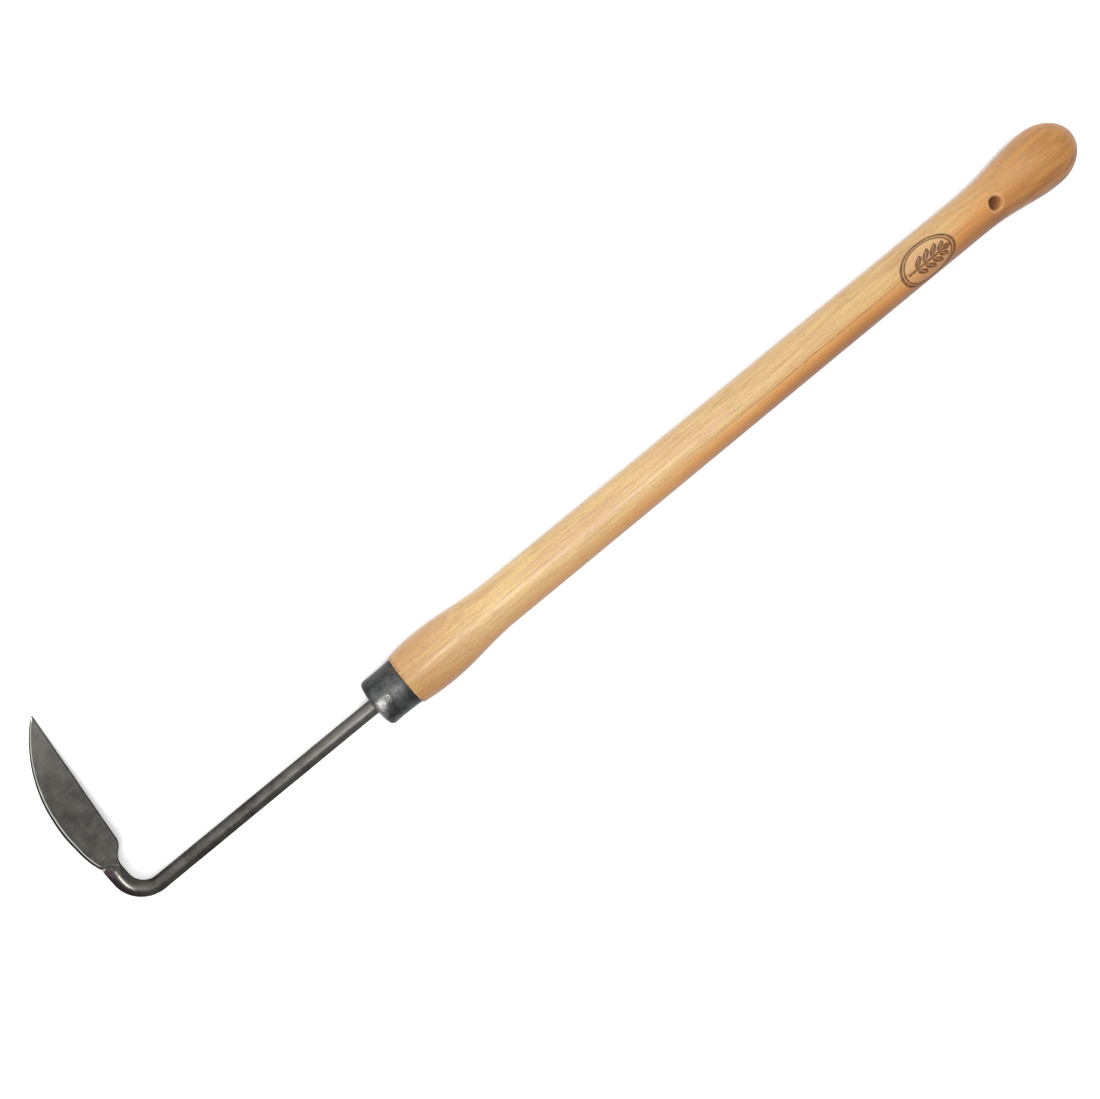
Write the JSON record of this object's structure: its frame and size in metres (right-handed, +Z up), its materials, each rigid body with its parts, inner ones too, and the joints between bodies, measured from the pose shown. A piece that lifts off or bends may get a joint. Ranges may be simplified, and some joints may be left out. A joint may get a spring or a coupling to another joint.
{
  "type": "weeding sickle",
  "caption": "Long-handled draw weeder: a small half-moon blade forged on a bent round rod, pinned in a steel ferrule on a turned ash handle with a hanging hole.",
  "frame": {"origin": "centre of the bounding box's bottom face, on the floor that the tool lies on", "axes": "+X along the handle towards the knob, +Y the way the blade bends off the rod, +Z up out of the floor"},
  "size_m": [0.7022, 0.1334, 0.038],
  "materials": {
    "ash": "satin clear lacquer over straight-grained ash",
    "ferrule_steel": "dark oxide with rubbed bright patches",
    "pin_steel": "filed bright round a dark punch mark",
    "forged_steel": "dark forged steel, hammered and lightly ground"
  },
  "bodies": {
    "root": {"handle": "ash", "ferrule": "ferrule_steel", "ferrule_pin": "pin_steel", "forged_head": "forged_steel"}
  },
  "joints": []
}
